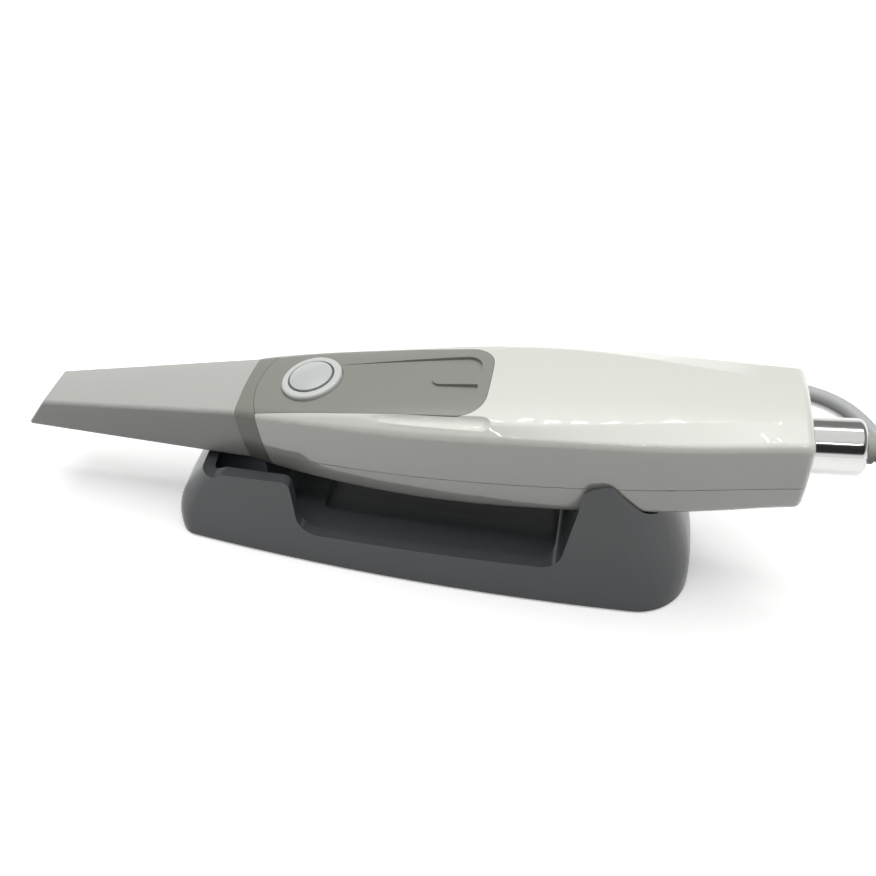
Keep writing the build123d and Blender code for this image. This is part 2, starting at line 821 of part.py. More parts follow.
for name, side in (("camera", 1), ("projector", -1)):
    axis_place = Location((0, side * barrel_spacing, barrel_axis_z))
    with BuildPart() as barrel:
        add(rod(barrel_radius, barrel_front_x, barrel_rear_x))
        add(rod(barrel_bore, barrel_front_x, barrel_rear_x), mode=Mode.SUBTRACT)
    barrel.part.label = f"{name}_barrel"
    export_step(seat * axis_place * barrel.part, f"parts/{name}_barrel.step")
    lens = rod(barrel_bore, lens_front_x, lens_front_x + lens_thickness)
    lens.label = f"{name}_lens"
    export_step(seat * axis_place * lens, f"parts/{name}_lens.step")

with BuildPart() as lens_block:
    add(block(lens_block_front_x, lens_block_front_x + lens_block_length, lens_block_half_width,
              chassis_floor_z, lens_block_top_z))
    for side in (-1, 1):
        add(rod(barrel_radius + running_gap, barrel_front_x, barrel_rear_x, side * barrel_spacing,
                barrel_axis_z), mode=Mode.SUBTRACT)
lens_block.part.label = "lens_block"
export_step(seat * lens_block.part, "parts/lens_block.step")

board_front_x = barrel_rear_x + fit_gap
camera_board = block(board_front_x, board_front_x + board_thickness, camera_board_half_width,
                     chassis_floor_z, camera_board_top_z, barrel_spacing)
camera_board.label = "camera_board"
export_step(seat * camera_board, "parts/camera_board.step")

sensor_z = barrel_axis_z - sensor_side / 2
image_sensor = block(board_front_x - sensor_thickness, board_front_x, sensor_side / 2,
                     sensor_z, sensor_z + sensor_side, barrel_spacing)
image_sensor.label = "image_sensor"
export_step(seat * image_sensor, "parts/image_sensor.step")

projector_module = block(board_front_x, board_front_x + projector_length, projector_half_width,
                         chassis_floor_z, camera_board_top_z, -barrel_spacing)
projector_module.label = "projector_module"
export_step(seat * projector_module, "parts/projector_module.step")

# Chassis: a channel on the shell's ribs, with posts for the main board and slots under it
post_front_x = chassis_wall_front_x + screw_end_margin
post_rear_x = main_board_rear_x - screw_end_margin
post_places = [(x, y) for x in (post_front_x, post_rear_x) for y in (-post_half_spacing, post_half_spacing)]
wall_centre_y = chassis_half_width - chassis_wall_thickness / 2

with BuildPart() as chassis:
    add(block(chassis_front_x, chassis_rear_x, chassis_half_width, chassis_under_z, chassis_floor_z))
    for side in (-1, 1):
        add(block(chassis_wall_front_x, chassis_rear_x, chassis_wall_thickness / 2,
                  chassis_floor_z, chassis_wall_top_z, side * wall_centre_y))
    with BuildSketch(Plane.XY.offset(chassis_floor_z)):
        with Locations(*post_places):
            Circle(post_radius)
    extrude(amount=main_board_z - chassis_floor_z)
    with BuildSketch(Plane.XY.offset(main_board_z)):
        with Locations(*post_places):
            Circle(screw_radius + running_gap)
    extrude(amount=-screw_thread_length - fit_gap, mode=Mode.SUBTRACT)
    with BuildSketch(Plane.XY.offset(chassis_floor_z)):
        with Locations((chassis_slot_x, 0)):
            with GridLocations(0, chassis_slot_pitch, 1, chassis_slot_count):
                SlotOverall(chassis_slot_length, chassis_slot_width)
    extrude(amount=-overrun, mode=Mode.SUBTRACT)
    add(body_spigot, mode=Mode.INTERSECT)
chassis.part.label = "chassis"
export_step(seat * chassis.part, "parts/chassis.step")

# Heat sink on the chassis floor, under the main board
fin_pitch = (2 * heat_sink_half_width - fin_thickness) / (fin_count - 1)
fin_centre_x = heat_sink_front_x + heat_sink_length / 2
with BuildPart() as heat_sink:
    add(block(heat_sink_front_x, heat_sink_front_x + heat_sink_length, heat_sink_half_width,
              chassis_floor_z, chassis_floor_z + heat_sink_base))
    with BuildSketch(Plane.XY.offset(chassis_floor_z + heat_sink_base)):
        with Locations((fin_centre_x, 0)):
            with GridLocations(0, fin_pitch, 1, fin_count):
                Rectangle(heat_sink_length, fin_thickness)
    extrude(amount=heat_sink_top_z - chassis_floor_z - heat_sink_base)
heat_sink.part.label = "heat_sink"
export_step(seat * heat_sink.part, "parts/heat_sink.step")

# Main board with its chips, screws and the socket for the cable
board_face_z = main_board_z + board_thickness
with BuildPart() as main_board:
    add(block(chassis_wall_front_x, main_board_rear_x, main_board_half_width, main_board_z, board_face_z))
    with BuildSketch(Plane.XY.offset(board_face_z)):
        with Locations(*post_places):
            Circle(screw_radius + running_gap)
    extrude(amount=-board_thickness, mode=Mode.SUBTRACT)
main_board.part.label = "main_board"
export_step(seat * main_board.part, "parts/main_board.step")

for number in range(chip_count):
    chip_x = chip_front_x + number * chip_spacing
    chip = block(chip_x, chip_x + chip_side, chip_side / 2, board_face_z, board_face_z + chip_thickness)
    chip.label = f"chip_{number + 1}"
    export_step(seat * chip, f"parts/chip_{number + 1}.step")

for number, (x, y) in enumerate(post_places, start=1):
    with BuildPart() as screw:
        with BuildSketch(Plane.XY.offset(board_face_z)):
            with Locations((x, y)):
                Circle(screw_head_radius)
        extrude(amount=screw_head_height)
        with BuildSketch(Plane.XY.offset(board_face_z)):
            with Locations((x, y)):
                Circle(screw_radius)
        extrude(amount=-board_thickness - screw_thread_length)
        with BuildSketch(Plane.XY.offset(board_face_z + screw_head_height)):
            with Locations((x, y)):
                RegularPolygon(screw_socket_radius, 6)
        extrude(amount=-screw_head_height / 2, mode=Mode.SUBTRACT)
    screw.part.label = f"board_screw_{number}"
    export_step(seat * screw.part, f"parts/board_screw_{number}.step")

lead_z = board_face_z + socket_height / 2
with BuildPart() as cable_socket:
    add(block(main_board_rear_x - socket_length, main_board_rear_x, socket_half_width,
              board_face_z, board_face_z + socket_height))
    add(rod(lead_radius + running_gap, main_board_rear_x - lead_sunk, main_board_rear_x,
            centre_z=lead_z), mode=Mode.SUBTRACT)
cable_socket.part.label = "cable_socket"
export_step(seat * cable_socket.part, "parts/cable_socket.step")


def exit_plane(x):
    """A plane across the cable's exit, centred on its axis."""
    return Plane(origin=(x, 0, exit_axis_z), x_dir=(0, 1, 0), z_dir=(1, 0, 0))


# Cable ferrule, screwed through the rear wall by a nut, and the strain relief set into its end
ferrule_end_x = body_rear_x + ferrule_length
nut_front_x = shell_room_rear_x - nut_height
neck_front_x = nut_front_x - neck_beyond_nut

with BuildPart() as cable_ferrule:
    with BuildSketch(exit_plane(body_rear_x)):
        Circle(ferrule_radius)
    extrude(amount=ferrule_length)
    fillet(cable_ferrule.edges().filter_by(GeomType.CIRCLE).sort_by(Axis.X)[-1], ferrule_edge_radius)
    with BuildSketch(exit_plane(body_rear_x)):
        Circle(ferrule_neck_radius)
    extrude(amount=neck_front_x - body_rear_x)
    with BuildSketch(exit_plane(neck_front_x)):
        Circle(ferrule_bore_radius)
    extrude(amount=ferrule_end_x - neck_front_x, mode=Mode.SUBTRACT)
    with BuildSketch(exit_plane(ferrule_end_x)):
        Circle(relief_radius + running_gap)
    extrude(amount=-relief_socket_depth, mode=Mode.SUBTRACT)
cable_ferrule.part.label = "cable_ferrule"
export_step(seat * cable_ferrule.part, "parts/cable_ferrule.step")

with BuildPart() as ferrule_nut:
    with BuildSketch(exit_plane(nut_front_x)):
        RegularPolygon(nut_flats / 2, 6, major_radius=False)
        Circle(ferrule_neck_radius + running_gap, mode=Mode.SUBTRACT)
    extrude(amount=nut_height)
ferrule_nut.part.label = "ferrule_nut"
export_step(seat * ferrule_nut.part, "parts/ferrule_nut.step")

relief_root_x = ferrule_end_x - relief_socket_depth
relief_end_x = ferrule_end_x + relief_length
taper_front_x = ferrule_end_x + relief_collar_length
taper_length = relief_end_x - taper_front_x

with BuildPart() as strain_relief:
    with BuildSketch(exit_plane(relief_root_x)):
        Circle(relief_radius)
    extrude(amount=taper_front_x - relief_root_x)
    with BuildSketch(exit_plane(taper_front_x)):
        Circle(relief_radius)
    with BuildSketch(exit_plane(relief_end_x)):
        Circle(relief_end_radius)
    loft()
    for number in range(rib_groove_count):
        groove_x = taper_front_x + number * rib_groove_pitch
        groove_share = (groove_x - taper_front_x) / taper_length
        groove_radius = relief_radius + (relief_end_radius - relief_radius) * groove_share
        with BuildSketch(exit_plane(groove_x)):
            Circle(overrun)
            Circle(groove_radius - rib_groove_depth, mode=Mode.SUBTRACT)
        extrude(amount=rib_groove_width, mode=Mode.SUBTRACT)
    with BuildSketch(exit_plane(relief_root_x)):
        Circle(lead_radius + running_gap)
    extrude(amount=relief_length + relief_socket_depth, mode=Mode.SUBTRACT)
    with BuildSketch(exit_plane(relief_end_x)):
        Circle(cable_radius + running_gap)
    extrude(amount=-cable_sunk, mode=Mode.SUBTRACT)
strain_relief.part.label = "strain_relief"
export_step(seat * strain_relief.part, "parts/strain_relief.step")

# Lead from the end of the cable up to the socket on the main board
lead_end_x = relief_end_x - cable_sunk
with BuildPart() as inner_lead:
    with BuildLine() as lead_path:
        FilletPolyline(
            (lead_end_x, 0, exit_axis_z), (lead_drop_x, 0, exit_axis_z), (lead_drop_x, 0, lead_z),
            (main_board_rear_x - lead_sunk, 0, lead_z), radius=lead_bend,
        )
    with BuildSketch(exit_plane(lead_end_x)):
        Circle(lead_radius)
    sweep()
inner_lead.part.label = "inner_lead"
export_step(seat * inner_lead.part, "parts/inner_lead.step")

# Cable: straight runs joined by arcs that are as large as the runs allow
exit_run = lead_end_x * cos(radians(pitch)) - exit_axis_z * sin(radians(pitch))
exit_rise = lead_end_x * sin(radians(pitch)) + exit_axis_z * cos(radians(pitch))
cable_points = [Vector(exit_run, 0, seat_height + exit_rise), *(Vector(*point) for point in cable_route)]
cable_radii = []
for before, corner, after in zip(cable_points, cable_points[1:], cable_points[2:]):
    first_run, second_run = corner - before, after - corner
    half_turn = radians(first_run.get_angle(second_run)) / 2
    cable_radii.append(cable_bend_share * min(first_run.length, second_run.length) / tan(half_turn))
print("cable bend radii:", ", ".join(f"{radius:.1f}" for radius in cable_radii))

with BuildPart() as cable:
    with BuildLine() as cable_line:
        FilletPolyline(*cable_points, radius=cable_radii)
    with BuildSketch(Plane(origin=cable_points[0], z_dir=cable_points[1] - cable_points[0])):
        Circle(cable_radius)
    sweep()
cable.part.label = "cable"
export_step(cable.part, "parts/cable.step")

# The rest of the cable, put away as a hank in a strap
hank_end_radius = hank_half_width - hank_hole_half_width
with BuildPart() as cable_hank:
    with BuildSketch(Plane.XY.offset(strap_thickness)):
        with Locations((hank_front_x + hank_length / 2, hank_centre_y)):
            SlotOverall(hank_length, 2 * hank_half_width)
            SlotOverall(hank_length - 2 * hank_end_radius, 2 * hank_hole_half_width, mode=Mode.SUBTRACT)
    extrude(amount=hank_height)
    outer_edges = cable_hank.faces().filter_by(Axis.Z).edges()
    fillet(outer_edges, hank_edge_radius)
cable_hank.part.label = "cable_hank"
export_step(cable_hank.part, "parts/cable_hank.step")

strap_plane = Plane(origin=(strap_x, hank_centre_y, strap_thickness + hank_height / 2),
                    x_dir=(0, 1, 0), z_dir=(1, 0, 0))
with BuildPart() as cable_strap:
    with BuildSketch(strap_plane):
        RectangleRounded(2 * hank_half_width + 2 * strap_thickness, hank_height + 2 * strap_thickness,
                         hank_edge_radius + strap_thickness)
        RectangleRounded(2 * hank_half_width, hank_height, hank_edge_radius, mode=Mode.SUBTRACT)
    extrude(amount=strap_width / 2, both=True)
cable_strap.part.label = "cable_strap"
export_step(cable_strap.part, "parts/cable_strap.step")

# Plug at the far end of the cable
tail_y = hank_centre_y
plug_axis_z = plug_height / 2
mould_front_x = tail_front_x - plug_length


def plug_plane(x):
    """A plane across the plug, centred on its axis and facing away from the hank."""
    return Plane(origin=(x, tail_y, plug_axis_z), x_dir=(0, 1, 0), z_dir=(-1, 0, 0))


with BuildPart() as cable_tail:
    with BuildSketch(plug_plane(tail_rear_x)):
        Circle(cable_radius)
    extrude(amount=tail_rear_x - tail_front_x)
cable_tail.part.label = "cable_tail"
export_step(cable_tail.part, "parts/cable_tail.step")

with BuildPart() as plug_overmould:
    with BuildSketch(plug_plane(tail_front_x)):
        RectangleRounded(plug_width, plug_height, plug_edge_radius)
    extrude(amount=plug_length)
    fillet(plug_overmould.faces().sort_by(Axis.X)[-1].edges(), plug_edge_radius / 2)
plug_overmould.part.label = "plug_overmould"
export_step(plug_overmould.part, "parts/plug_overmould.step")

with BuildPart() as plug_shell:
    with BuildSketch(plug_plane(mould_front_x)):
        Rectangle(plug_shell_width, plug_shell_height)
        Rectangle(plug_shell_width - 2 * plug_shell_wall, plug_shell_height - 2 * plug_shell_wall,
                  mode=Mode.SUBTRACT)
    extrude(amount=plug_shell_length)
plug_shell.part.label = "plug_shell"
export_step(plug_shell.part, "parts/plug_shell.step")

with BuildPart() as plug_insert:
    with BuildSketch(plug_plane(mould_front_x)):
        with Locations((0, (plug_shell_height - plug_insert_height) / 2 - plug_shell_wall)):
            Rectangle(plug_shell_width - 2 * plug_shell_wall, plug_insert_height)
    extrude(amount=plug_shell_length - plug_shell_wall)
plug_insert.part.label = "plug_insert"
export_step(plug_insert.part, "parts/plug_insert.step")

# Cradle: a boat with a block under the front of the body, a dip for the fingers and a saddle
cradle_bottom_z = foot_pad_thickness - foot_pad_sunk
cradle_height = cradle_top_z - cradle_bottom_z


def boat_outline(z, ends, halves, bulges, radii):
    """A level outline with bowed sides and ends and four round corners."""
    (left_x, right_x), (left_half, full_half, right_half) = ends, halves
    (left_bulge, right_bulge), (left_radius, right_radius) = bulges, radii
    inner_left_x, inner_right_x = left_x + left_bulge, right_x - right_bulge
    with BuildSketch(Plane.XY.offset(z)) as outline:
        with BuildLine():
            ThreePointArc((inner_left_x, left_half), (cradle_fullest_x, full_half),
                          (inner_right_x, right_half))
            ThreePointArc((inner_right_x, right_half), (right_x, 0), (inner_right_x, -right_half))
            ThreePointArc((inner_right_x, -right_half), (cradle_fullest_x, -full_half),
                          (inner_left_x, -left_half))
            ThreePointArc((inner_left_x, -left_half), (left_x, 0), (inner_left_x, left_half))
        make_face()
        fillet(outline.vertices().group_by(Axis.X)[0], left_radius)
        fillet(outline.vertices().group_by(Axis.X)[-1], right_radius)
    return outline.sketch


def cradle_levels(inset, right_x, right_half, right_bulge, right_radius):
    """The cradle's outline at each level, drawn in by inset, ending at right_x at the foot."""
    for height, width, left_draw, right_draw in cradle_level_shares:
        yield boat_outline(
            cradle_bottom_z + height * cradle_height,
            (cradle_left_x + left_draw * cradle_left_draw + inset, right_x - right_draw * cradle_right_draw),
            (cradle_left_half_width * width - inset, cradle_half_width * width - inset,
             right_half * width - inset),
            (cradle_left_bulge, right_bulge),
            (cradle_left_corner_radius - inset, right_radius),
        )


def under_handpiece(x, own_z):
    """Table height at x of a line that runs along the handpiece at own_z."""
    return seat_height + x * tan(radians(pitch)) + own_z / cos(radians(pitch))


# Rests: spaces that the handpiece and its pads take out of the cradle
saddle_room = seat * body_form(-saddle_gap)
pad_inner = seat * body_form(-rest_gap)
pad_outer = seat * body_form(-rest_gap - rest_pad_thickness)
front_rest_space = block(rest_front_x, rest_front_x + rest_length, rest_half_width, 0, cradle_top_z)
rear_rest_space = block(rear_rest_x, rear_rest_x + rear_rest_length, rear_rest_half_width, 0, cradle_top_z)

with BuildPart() as cradle_hull:
    loft(sections=[*cradle_levels(0, cradle_right_x, cradle_right_half_width, cradle_right_bulge,
                                  cradle_right_corner_radius)])

with BuildPart() as side_profile:
    with BuildSketch(Plane.XZ) as profile:
        end_z = under_handpiece(block_end_x, block_end_top_z)
        corner_places = {
            (block_rear_x, under_handpiece(block_rear_x, block_top_z)): block_corner_radius,
            (lip_front_x, lip_front_z): lip_corner_radius,
            (lip_rear_x, lip_rear_z): lip_corner_radius,
            (horn_front_x, horn_front_z): horn_radius,
            (horn_top_x, horn_top_z): horn_radius,
            (end_top_x, end_top_z): horn_radius,
        }
        with BuildLine():
            Polyline(
                (cradle_left_x - cradle_wall, under_handpiece(cradle_left_x, block_end_top_z)),
                (block_end_x, end_z),
                (block_step_x, under_handpiece(block_step_x, block_top_z)),
                *corner_places,
                (cradle_right_x + cradle_wall, end_edge_z),
                (cradle_right_x + cradle_wall, 0),
                (cradle_left_x - cradle_wall, 0),
                close=True,
            )
        make_face()
        for place, radius in corner_places.items():
            fillet(profile.vertices().sort_by_distance(place)[0], radius)
    extrude(amount=overrun, both=True)

bay_rear_x = rest_front_x + rest_length / 2
with BuildPart() as cavity:
    loft(sections=[*cradle_levels(cradle_wall, cavity_rear_x, cavity_rear_half_width, cavity_rear_bulge,
                                  cavity_corner_radius)])
    with BuildSketch(Plane.XZ):
        with BuildLine():
            Polyline(
                (cradle_left_x, bay_floor_z), (bay_rear_x, bay_floor_z),
                (bay_rear_x, cavity_floor_front_z), (lip_front_x, cavity_floor_front_z),
                (cavity_rear_x, cavity_floor_rear_z), (cradle_right_x, cavity_floor_rear_z),
                (cradle_right_x, -overrun), (cradle_left_x, -overrun), close=True,
            )
        make_face()
    extrude(amount=overrun, both=True, mode=Mode.SUBTRACT)

well_front_x = lip_front_x + well_margin
well_rear_x = cavity_rear_x - well_margin
with BuildPart() as well:
    with BuildSketch(Plane.XY.offset(cavity_floor_front_z - well_depth)):
        with Locations(((well_front_x + well_rear_x) / 2, 0)):
            RectangleRounded(well_rear_x - well_front_x, 2 * well_half_width, well_corner_radius)
    extrude(amount=cradle_top_z)

with BuildPart() as foot_pad:
    with BuildSketch():
        RectangleRounded(2 * foot_pad_half_length, 2 * foot_pad_half_width, foot_pad_corner_radius)
    extrude(amount=foot_pad_thickness)

with BuildPart() as ballast:
    with BuildSketch(Plane.XY.offset(foot_pad_thickness)):
        with Locations((ballast_front_x + ballast_length / 2, 0)):
            Rectangle(ballast_length, 2 * ballast_half_width)
    extrude(amount=ballast_height)

with BuildPart() as cradle:
    add(cradle_hull.part)
    add(side_profile.part, mode=Mode.INTERSECT)
    add(cavity.part, mode=Mode.SUBTRACT)
    add(well.part, mode=Mode.SUBTRACT)
with BuildPart() as front_rest:
    add(front_rest_space)
    add(cradle_hull.part, mode=Mode.INTERSECT)
with cradle:
    add(front_rest.part)
    add(saddle_room, mode=Mode.SUBTRACT)
    add(Location((0, 0, saddle_lift)) * saddle_room, mode=Mode.SUBTRACT)
    add(foot_pad.part, mode=Mode.SUBTRACT)
    add(ballast.part, mode=Mode.SUBTRACT)

rest_pads = {}
for name, space in (("front_rest_pad", front_rest_space), ("rear_rest_pad", rear_rest_space)):
    with BuildPart() as rest_pad:
        add(pad_outer)
        add(space, mode=Mode.INTERSECT)
        add(pad_inner, mode=Mode.SUBTRACT)
    rest_pads[name] = rest_pad.part.solids().sort_by(Axis.Z)[0]
with cradle:
    for name, rest_pad in rest_pads.items():
        add(rest_pad, mode=Mode.SUBTRACT)
cradle.part.label = "cradle"
export_step(cradle.part, "parts/cradle.step")
for name, rest_pad in rest_pads.items():
    rest_pad.label = name
    export_step(rest_pad, f"parts/{name}.step")
foot_pad.part.label = "cradle_foot_pad"
export_step(foot_pad.part, "parts/cradle_foot_pad.step")
ballast.part.label = "cradle_ballast"
export_step(ballast.part, "parts/cradle_ballast.step")
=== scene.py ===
import bpy
import json
from math import cos, pi, radians, sin
from mathutils import Matrix, Vector

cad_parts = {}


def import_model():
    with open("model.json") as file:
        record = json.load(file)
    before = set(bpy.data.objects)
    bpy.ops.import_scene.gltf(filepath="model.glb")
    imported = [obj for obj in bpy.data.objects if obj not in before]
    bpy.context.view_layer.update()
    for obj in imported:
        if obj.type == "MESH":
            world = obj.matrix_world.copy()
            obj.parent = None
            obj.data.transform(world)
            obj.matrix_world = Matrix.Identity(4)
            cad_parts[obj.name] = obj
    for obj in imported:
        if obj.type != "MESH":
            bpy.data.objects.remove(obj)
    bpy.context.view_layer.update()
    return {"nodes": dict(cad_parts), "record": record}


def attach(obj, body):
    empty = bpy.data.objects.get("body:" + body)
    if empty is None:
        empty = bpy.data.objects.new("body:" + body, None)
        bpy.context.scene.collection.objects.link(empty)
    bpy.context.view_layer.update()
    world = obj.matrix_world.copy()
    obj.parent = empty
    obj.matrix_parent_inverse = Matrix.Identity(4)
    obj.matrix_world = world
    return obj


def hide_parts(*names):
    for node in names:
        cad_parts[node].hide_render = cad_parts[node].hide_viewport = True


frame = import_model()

MM = 0.001


# Shader maths written as expressions

class Wire:
    """A shader socket that adds Math nodes when it is used in an expression."""

    def __init__(self, tree, socket):
        self.tree, self.socket = tree, socket

    def maths(self, operation, *values, clamp=False):
        node = self.tree.nodes.new("ShaderNodeMath")
        node.operation, node.use_clamp = operation, clamp
        for place, value in enumerate(values):
            feed(self.tree, node.inputs[place], value)
        return Wire(self.tree, node.outputs[0])

    def __add__(self, other):
        return self.maths("ADD", self, other)

    def __radd__(self, other):
        return self.maths("ADD", other, self)

    def __sub__(self, other):
        return self.maths("SUBTRACT", self, other)

    def __rsub__(self, other):
        return self.maths("SUBTRACT", other, self)

    def __mul__(self, other):
        return self.maths("MULTIPLY", self, other)

    def __rmul__(self, other):
        return self.maths("MULTIPLY", other, self)

    def __truediv__(self, other):
        return self.maths("DIVIDE", self, other)

    def clamped(self):
        return self.maths("ADD", self, 0.0, clamp=True)


def feed(tree, socket, value):
    """Sets a socket, or links it where the value is a wire."""
    if isinstance(value, Wire):
        tree.links.new(value.socket, socket)
    else:
        socket.default_value = value


def add_node(tree, kind, settings=(), output=0, **sockets):
    """Any node: its settings first, then its sockets, and one of its outputs."""
    made = tree.nodes.new(kind)
    for name, value in dict(settings).items():
        setattr(made, name, value)
    for name, value in sockets.items():
        feed(tree, made.inputs[name.replace("_", " ")], value)
    return Wire(tree, made.outputs[output])


class Finish:
    """One material of the scanner, built node by node."""

    def __init__(self, name):
        self.material = bpy.data.materials.new(name)
        self.material.use_nodes = True
        self.tree = self.material.node_tree
        self.shader = self.tree.nodes["Principled BSDF"]
        self.place = self.node("ShaderNodeTexCoord", output="Object")

    def node(self, kind, settings=(), output=0, **sockets):
        return add_node(self.tree, kind, settings, output, **sockets)

    def noise(self, scale, detail=4.0, roughness=0.5):
        return self.node("ShaderNodeTexNoise", Vector=self.place, Scale=scale, Detail=detail,
                         Roughness=roughness)

    def mix(self, share, first, second):
        """A mix of two colours."""
        made = self.tree.nodes.new("ShaderNodeMix")
        made.data_type = "RGBA"
        feed(self.tree, made.inputs[0], share)
        feed(self.tree, made.inputs[6], first)
        feed(self.tree, made.inputs[7], second)
        return Wire(self.tree, made.outputs[2])

    def set(self, **sockets):
        for name, value in sockets.items():
            feed(self.tree, self.shader.inputs[name.replace("_", " ")], value)

    def bump(self, height, distance):
        self.set(Normal=self.node("ShaderNodeBump", Height=height, Distance=distance, Strength=1.0))


def rgb(red, green, blue):
    """A colour as it looks on the screen, made linear."""
    linear = [(part / 12.92) if part <= 0.04045 else ((part + 0.055) / 1.055) ** 2.4
              for part in (red / 255, green / 255, blue / 255)]
    return (*linear, 1)


def shaded(colour, share):
    """The same colour, lighter or darker by a share."""
    return (*(min(part * share, 1) for part in colour[:3]), 1)


def moulded(name, colour, roughness, grain, depth, coat=0.0, variation=0.03):
    """Moulded plastic: faint mottling, a fine grain, and handling marks in the gloss."""
    finish = Finish(name)
    mottle = finish.noise(scale=55.0)
    finish.set(Base_Color=finish.mix(mottle, shaded(colour, 1 - variation), shaded(colour, 1 + variation)))
    marks, wear = finish.noise(scale=160.0, detail=6.0, roughness=0.6), 0.06
    finish.set(Roughness=roughness - wear / 2 + wear * marks, Coat_Weight=coat, Coat_Roughness=0.02)
    finish.bump(finish.noise(grain, detail=3.0), depth)
    return finish


def metal(name, colour, roughness, grain, depth):
    """Plated or machined metal with a fine uneven polish."""
    finish = Finish(name)
    polish = finish.noise(grain, detail=3.0)
    finish.set(Base_Color=finish.mix(polish, shaded(colour, 0.94), colour), Metallic=1.0,
               Roughness=roughness - 0.02 + 0.05 * polish)
    finish.bump(polish, depth)
    return finish


def soft(name, colour, roughness):
    """Rubber with a dusty, slightly lighter bloom."""
    finish = Finish(name)
    bloom = finish.noise(scale=240.0, detail=5.0)
    finish.set(Base_Color=finish.mix(bloom, colour, shaded(colour, 1.35)), Roughness=roughness)
    finish.bump(finish.noise(scale=2600.0, detail=2.0), distance=0.00002)
    return finish


def clear(name, colour, roughness):
    """Coated optical glass."""
    finish = Finish(name)
    finish.set(Base_Color=colour, Roughness=roughness + 0.02 * finish.noise(scale=300.0),
               Transmission_Weight=1.0, IOR=1.5)
    return finish


finishes = {
    "shell_white": moulded("shell_white", rgb(221, 222, 214), roughness=0.32, grain=1900.0,
                           depth=0.0000006, coat=1.0, variation=0.012),
    "panel_grey": moulded("panel_grey", rgb(144, 145, 138), roughness=0.2, grain=2200.0,
                          depth=0.000004, coat=0.4, variation=0.02),
    "collar_grey": moulded("collar_grey", rgb(136, 137, 129), roughness=0.36, grain=2400.0,
                           depth=0.000008, variation=0.02),
    "tip_grey": moulded("tip_grey", rgb(184, 184, 180), roughness=0.38, grain=2600.0,
                        depth=0.000010, variation=0.02),
    "cradle_dark": moulded("cradle_dark", rgb(77, 80, 83), roughness=0.25, grain=1500.0,
                           depth=0.0000005, coat=0.1, variation=0.015),
    "ring_white": moulded("ring_white", rgb(206, 208, 206), roughness=0.25, grain=2400.0,
                          depth=0.000004, variation=0.015),
    "inner_black": moulded("inner_black", rgb(38, 38, 38), roughness=0.55, grain=2400.0,
                           depth=0.00001),
    "board_green": moulded("board_green", rgb(38, 92, 58), roughness=0.38, grain=900.0,
                           depth=0.00002, coat=0.3),
    "chip_black": moulded("chip_black", rgb(32, 32, 33), roughness=0.5, grain=2600.0,
                          depth=0.00001),
    "cable_grey": moulded("cable_grey", rgb(184, 185, 185), roughness=0.4, grain=1700.0,
                          depth=0.00001),
    "cap_silver": moulded("cap_silver", rgb(196, 199, 197), roughness=0.3, grain=2400.0,
                          depth=0.000003, coat=0.4, variation=0.02),
    "pad_dark": soft("pad_dark", rgb(42, 43, 44), roughness=0.82),
    "relief_grey": soft("relief_grey", rgb(150, 151, 148), roughness=0.6),
    "polished_metal": metal("polished_metal", rgb(214, 214, 212), roughness=0.12, grain=900.0,
                            depth=0.000004),
    "bare_aluminium": metal("bare_aluminium", rgb(200, 201, 203), roughness=0.36, grain=1800.0,
                            depth=0.00001),
    "steel": metal("steel", rgb(178, 178, 180), roughness=0.30, grain=1400.0, depth=0.00001),
    "front_mirror": metal("front_mirror", rgb(240, 241, 242), roughness=0.03, grain=500.0,
                          depth=0.000001),
    "clear_glass": clear("clear_glass", rgb(232, 240, 244), roughness=0.01),
}

slots = {entry["node"]: entry["material_slot"] for entry in frame["record"]["subparts"]}


def paint(piece, slot):
    piece.data.materials.clear()
    piece.data.materials.append(finishes[slot].material)


# Camera: the photo's view of the scanner, in millimetres and pixels

picture_size = 876
focal_pixels = 878
sensor_width = 36
camera_place = Vector((31.7, -163.1, 201.6)) * MM
camera_aim = Vector((0, 0, 32.6)) * MM


def camera():
    lens = bpy.data.cameras.new("photo_camera")
    lens.sensor_width = sensor_width
    lens.lens = sensor_width * focal_pixels / picture_size
    lens.clip_start, lens.clip_end = 0.01, 20
    eye = bpy.data.objects.new("photo_camera", lens)
    eye.location = camera_place
    eye.rotation_mode = "QUATERNION"
    eye.rotation_quaternion = (camera_aim - camera_place).to_track_quat("-Z", "Y")
    bpy.context.collection.objects.link(eye)
    bpy.context.scene.camera = eye


camera()

# Cable: out of the strain relief, down and round to the hank, turns of the hank, and the tail to the plug

pitch = radians(7.0)
cable_diameter = 5.0
exit_along, exit_below, seat_height = 127.0, -3.3, 40.0
neck_start, sleeve_start, sleeve_end = 85.2, 90.8, 104.4
relief_start, collar_end, relief_end = 98.4, 106.6, 128.4
cable_exit = (exit_along * cos(pitch) - exit_below * sin(pitch), 0,
              seat_height + exit_along * sin(pitch) + exit_below * cos(pitch))
cable_route = (
    (141, 0, 54), (156, -4, 52), (171, -11, 45), (185, -19, 33), (199, -14, 20), (205, 3, 10),
    (197, 20, 4), (180, 28, 2.6), (164, 26.5, 2.6), (150, 26, 2.6), (139, 36, 2.6),
    (132.5, 53.5, 2.6), (123.5, 69.5, 2.6), (107.5, 75.2, 2.6), (90, 75, 2.8), (74.5, 67.5, 3.2),
    (61, 59, 3.3), (47, 55.2, 3.3),
)
hank_middle_y = 42.5
hank_left_x, hank_right_x = 23.2, 82.8
hank_low_z = 3.3
hank_radii = (12.5, 7.5)
hank_levels = 4
end_steps = 6
tail_route = (
    (19, 54.6, 18.3), (12, 53.2, 18.0), (5.5, 50.2, 15.6), (1.5, 46.4, 11.2), (-1.0, 43.6, 7.0),
    (-3.6, 42.6, 4.6), (-7.5, 42.5, 4.0),
)


